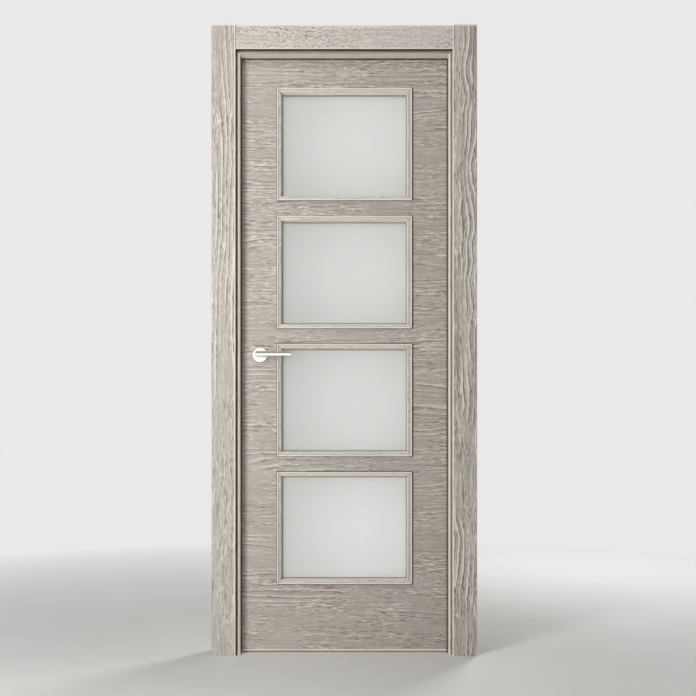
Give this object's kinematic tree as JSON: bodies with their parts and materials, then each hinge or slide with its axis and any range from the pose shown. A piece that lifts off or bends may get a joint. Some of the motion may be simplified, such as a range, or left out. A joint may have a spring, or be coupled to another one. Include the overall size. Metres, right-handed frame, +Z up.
{
  "type": "glazed interior door set",
  "caption": "Veneered interior door leaf with stacked frosted panes in mitred beads, hung on lift-off hinges in a frame with stops, seal and casings, with lever handles on round roses.",
  "frame": {"origin": "on the hinge jamb's outer face, which fixes to the wall, at floor level and mid jamb depth", "axes": "+X out of the hinge jamb's wall face, +Y towards the side the leaf opens to, +Z up"},
  "size_m": [0.9085, 0.149, 2.137],
  "materials": {
    "oak_veneer": "grey limed oak veneer, matt lacquer",
    "core_timber": "plain core timber under the skins",
    "frosted_glass": "satin etched toughened glass",
    "polished_handle": "bright polished lever and rose",
    "satin_steel": "satin steel hinges, latch and strike",
    "seal_rubber": "dark soft rubber"
  },
  "bodies": {
    "frame": {"back_head_casing": "oak_veneer", "back_hinge_casing": "oak_veneer", "back_latch_casing": "oak_veneer", "front_head_casing": "oak_veneer", "front_hinge_casing": "oak_veneer", "front_latch_casing": "oak_veneer", "head_jamb": "oak_veneer", "head_stop": "oak_veneer", "hinge_jamb": "oak_veneer", "hinge_stop": "oak_veneer", "latch_jamb": "oak_veneer", "latch_stop": "oak_veneer", "door_seal": "seal_rubber", "strike_plate": "satin_steel", "hinge_frame_halves": "satin_steel"},
    "leaf": {"back_cross_beads": "oak_veneer", "back_rose": "polished_handle", "back_skin": "oak_veneer", "back_upright_beads": "oak_veneer", "bottom_rail": "core_timber", "cross_rail_1": "core_timber", "cross_rail_2": "core_timber", "cross_rail_3": "core_timber", "front_cross_beads": "oak_veneer", "front_rose": "polished_handle", "front_skin": "oak_veneer", "front_upright_beads": "oak_veneer", "glass_pane_1": "frosted_glass", "glass_pane_2": "frosted_glass", "glass_pane_3": "frosted_glass", "glass_pane_4": "frosted_glass", "hinge_leaf_halves": "satin_steel", "hinge_lipping": "oak_veneer", "hinge_stile": "core_timber", "latch_bolt": "satin_steel", "latch_faceplate": "satin_steel", "latch_lipping": "oak_veneer", "latch_stile": "core_timber", "top_rail": "core_timber"},
    "lever": {"front_lever": "polished_handle", "back_lever": "polished_handle", "spindle": "polished_handle"}
  },
  "joints": [
    {"name": "leaf_swing", "type": "hinge", "parent": "frame", "child": "leaf", "pos_m": [-0.0325, 0.0465, 0], "axis": [0, 0, -1], "range_deg": [0, 170]},
    {"name": "lever_turn", "type": "hinge", "parent": "leaf", "child": "lever", "pos_m": [-0.681, 0.02, 1.02], "axis": [0, 1, 0], "range_deg": [0, 45], "stiffness_Nm_per_rad": 1.5, "springref_deg": -22.92}
  ]
}
